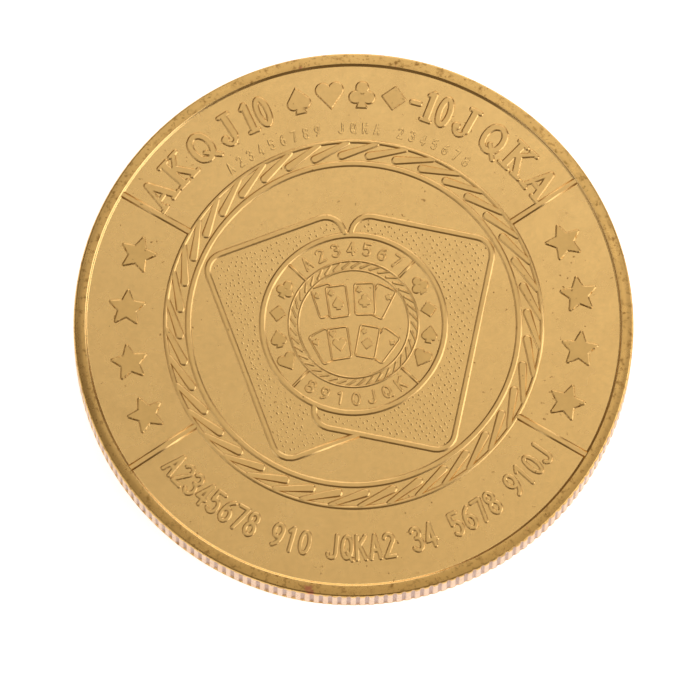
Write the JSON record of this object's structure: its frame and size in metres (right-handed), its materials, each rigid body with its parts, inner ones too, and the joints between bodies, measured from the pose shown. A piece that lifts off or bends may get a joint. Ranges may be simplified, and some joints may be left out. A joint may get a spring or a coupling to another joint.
{
  "type": "dealer button",
  "caption": "Round struck metal coin with a raised rim, a reeded edge and card and chip relief on both faces, laid on the table to mark the dealer or to guard a hand of cards.",
  "frame": {"origin": "on the coin's axis, in the plane that the reverse rim rests on", "axes": "+Z is the obverse face's outward normal; +Y is the top of the design, halfway along the upper legend; the reverse's design is turned about Y, so its top is +Y too"},
  "size_m": [0.04, 0.04, 0.003],
  "materials": {
    "base_metal": "struck",
    "copper": "satin",
    "gold": "bright struck"
  },
  "bodies": {
    "root": {"struck_core": "base_metal", "copper_underplate": "copper", "gold_plate": "gold"}
  },
  "joints": []
}
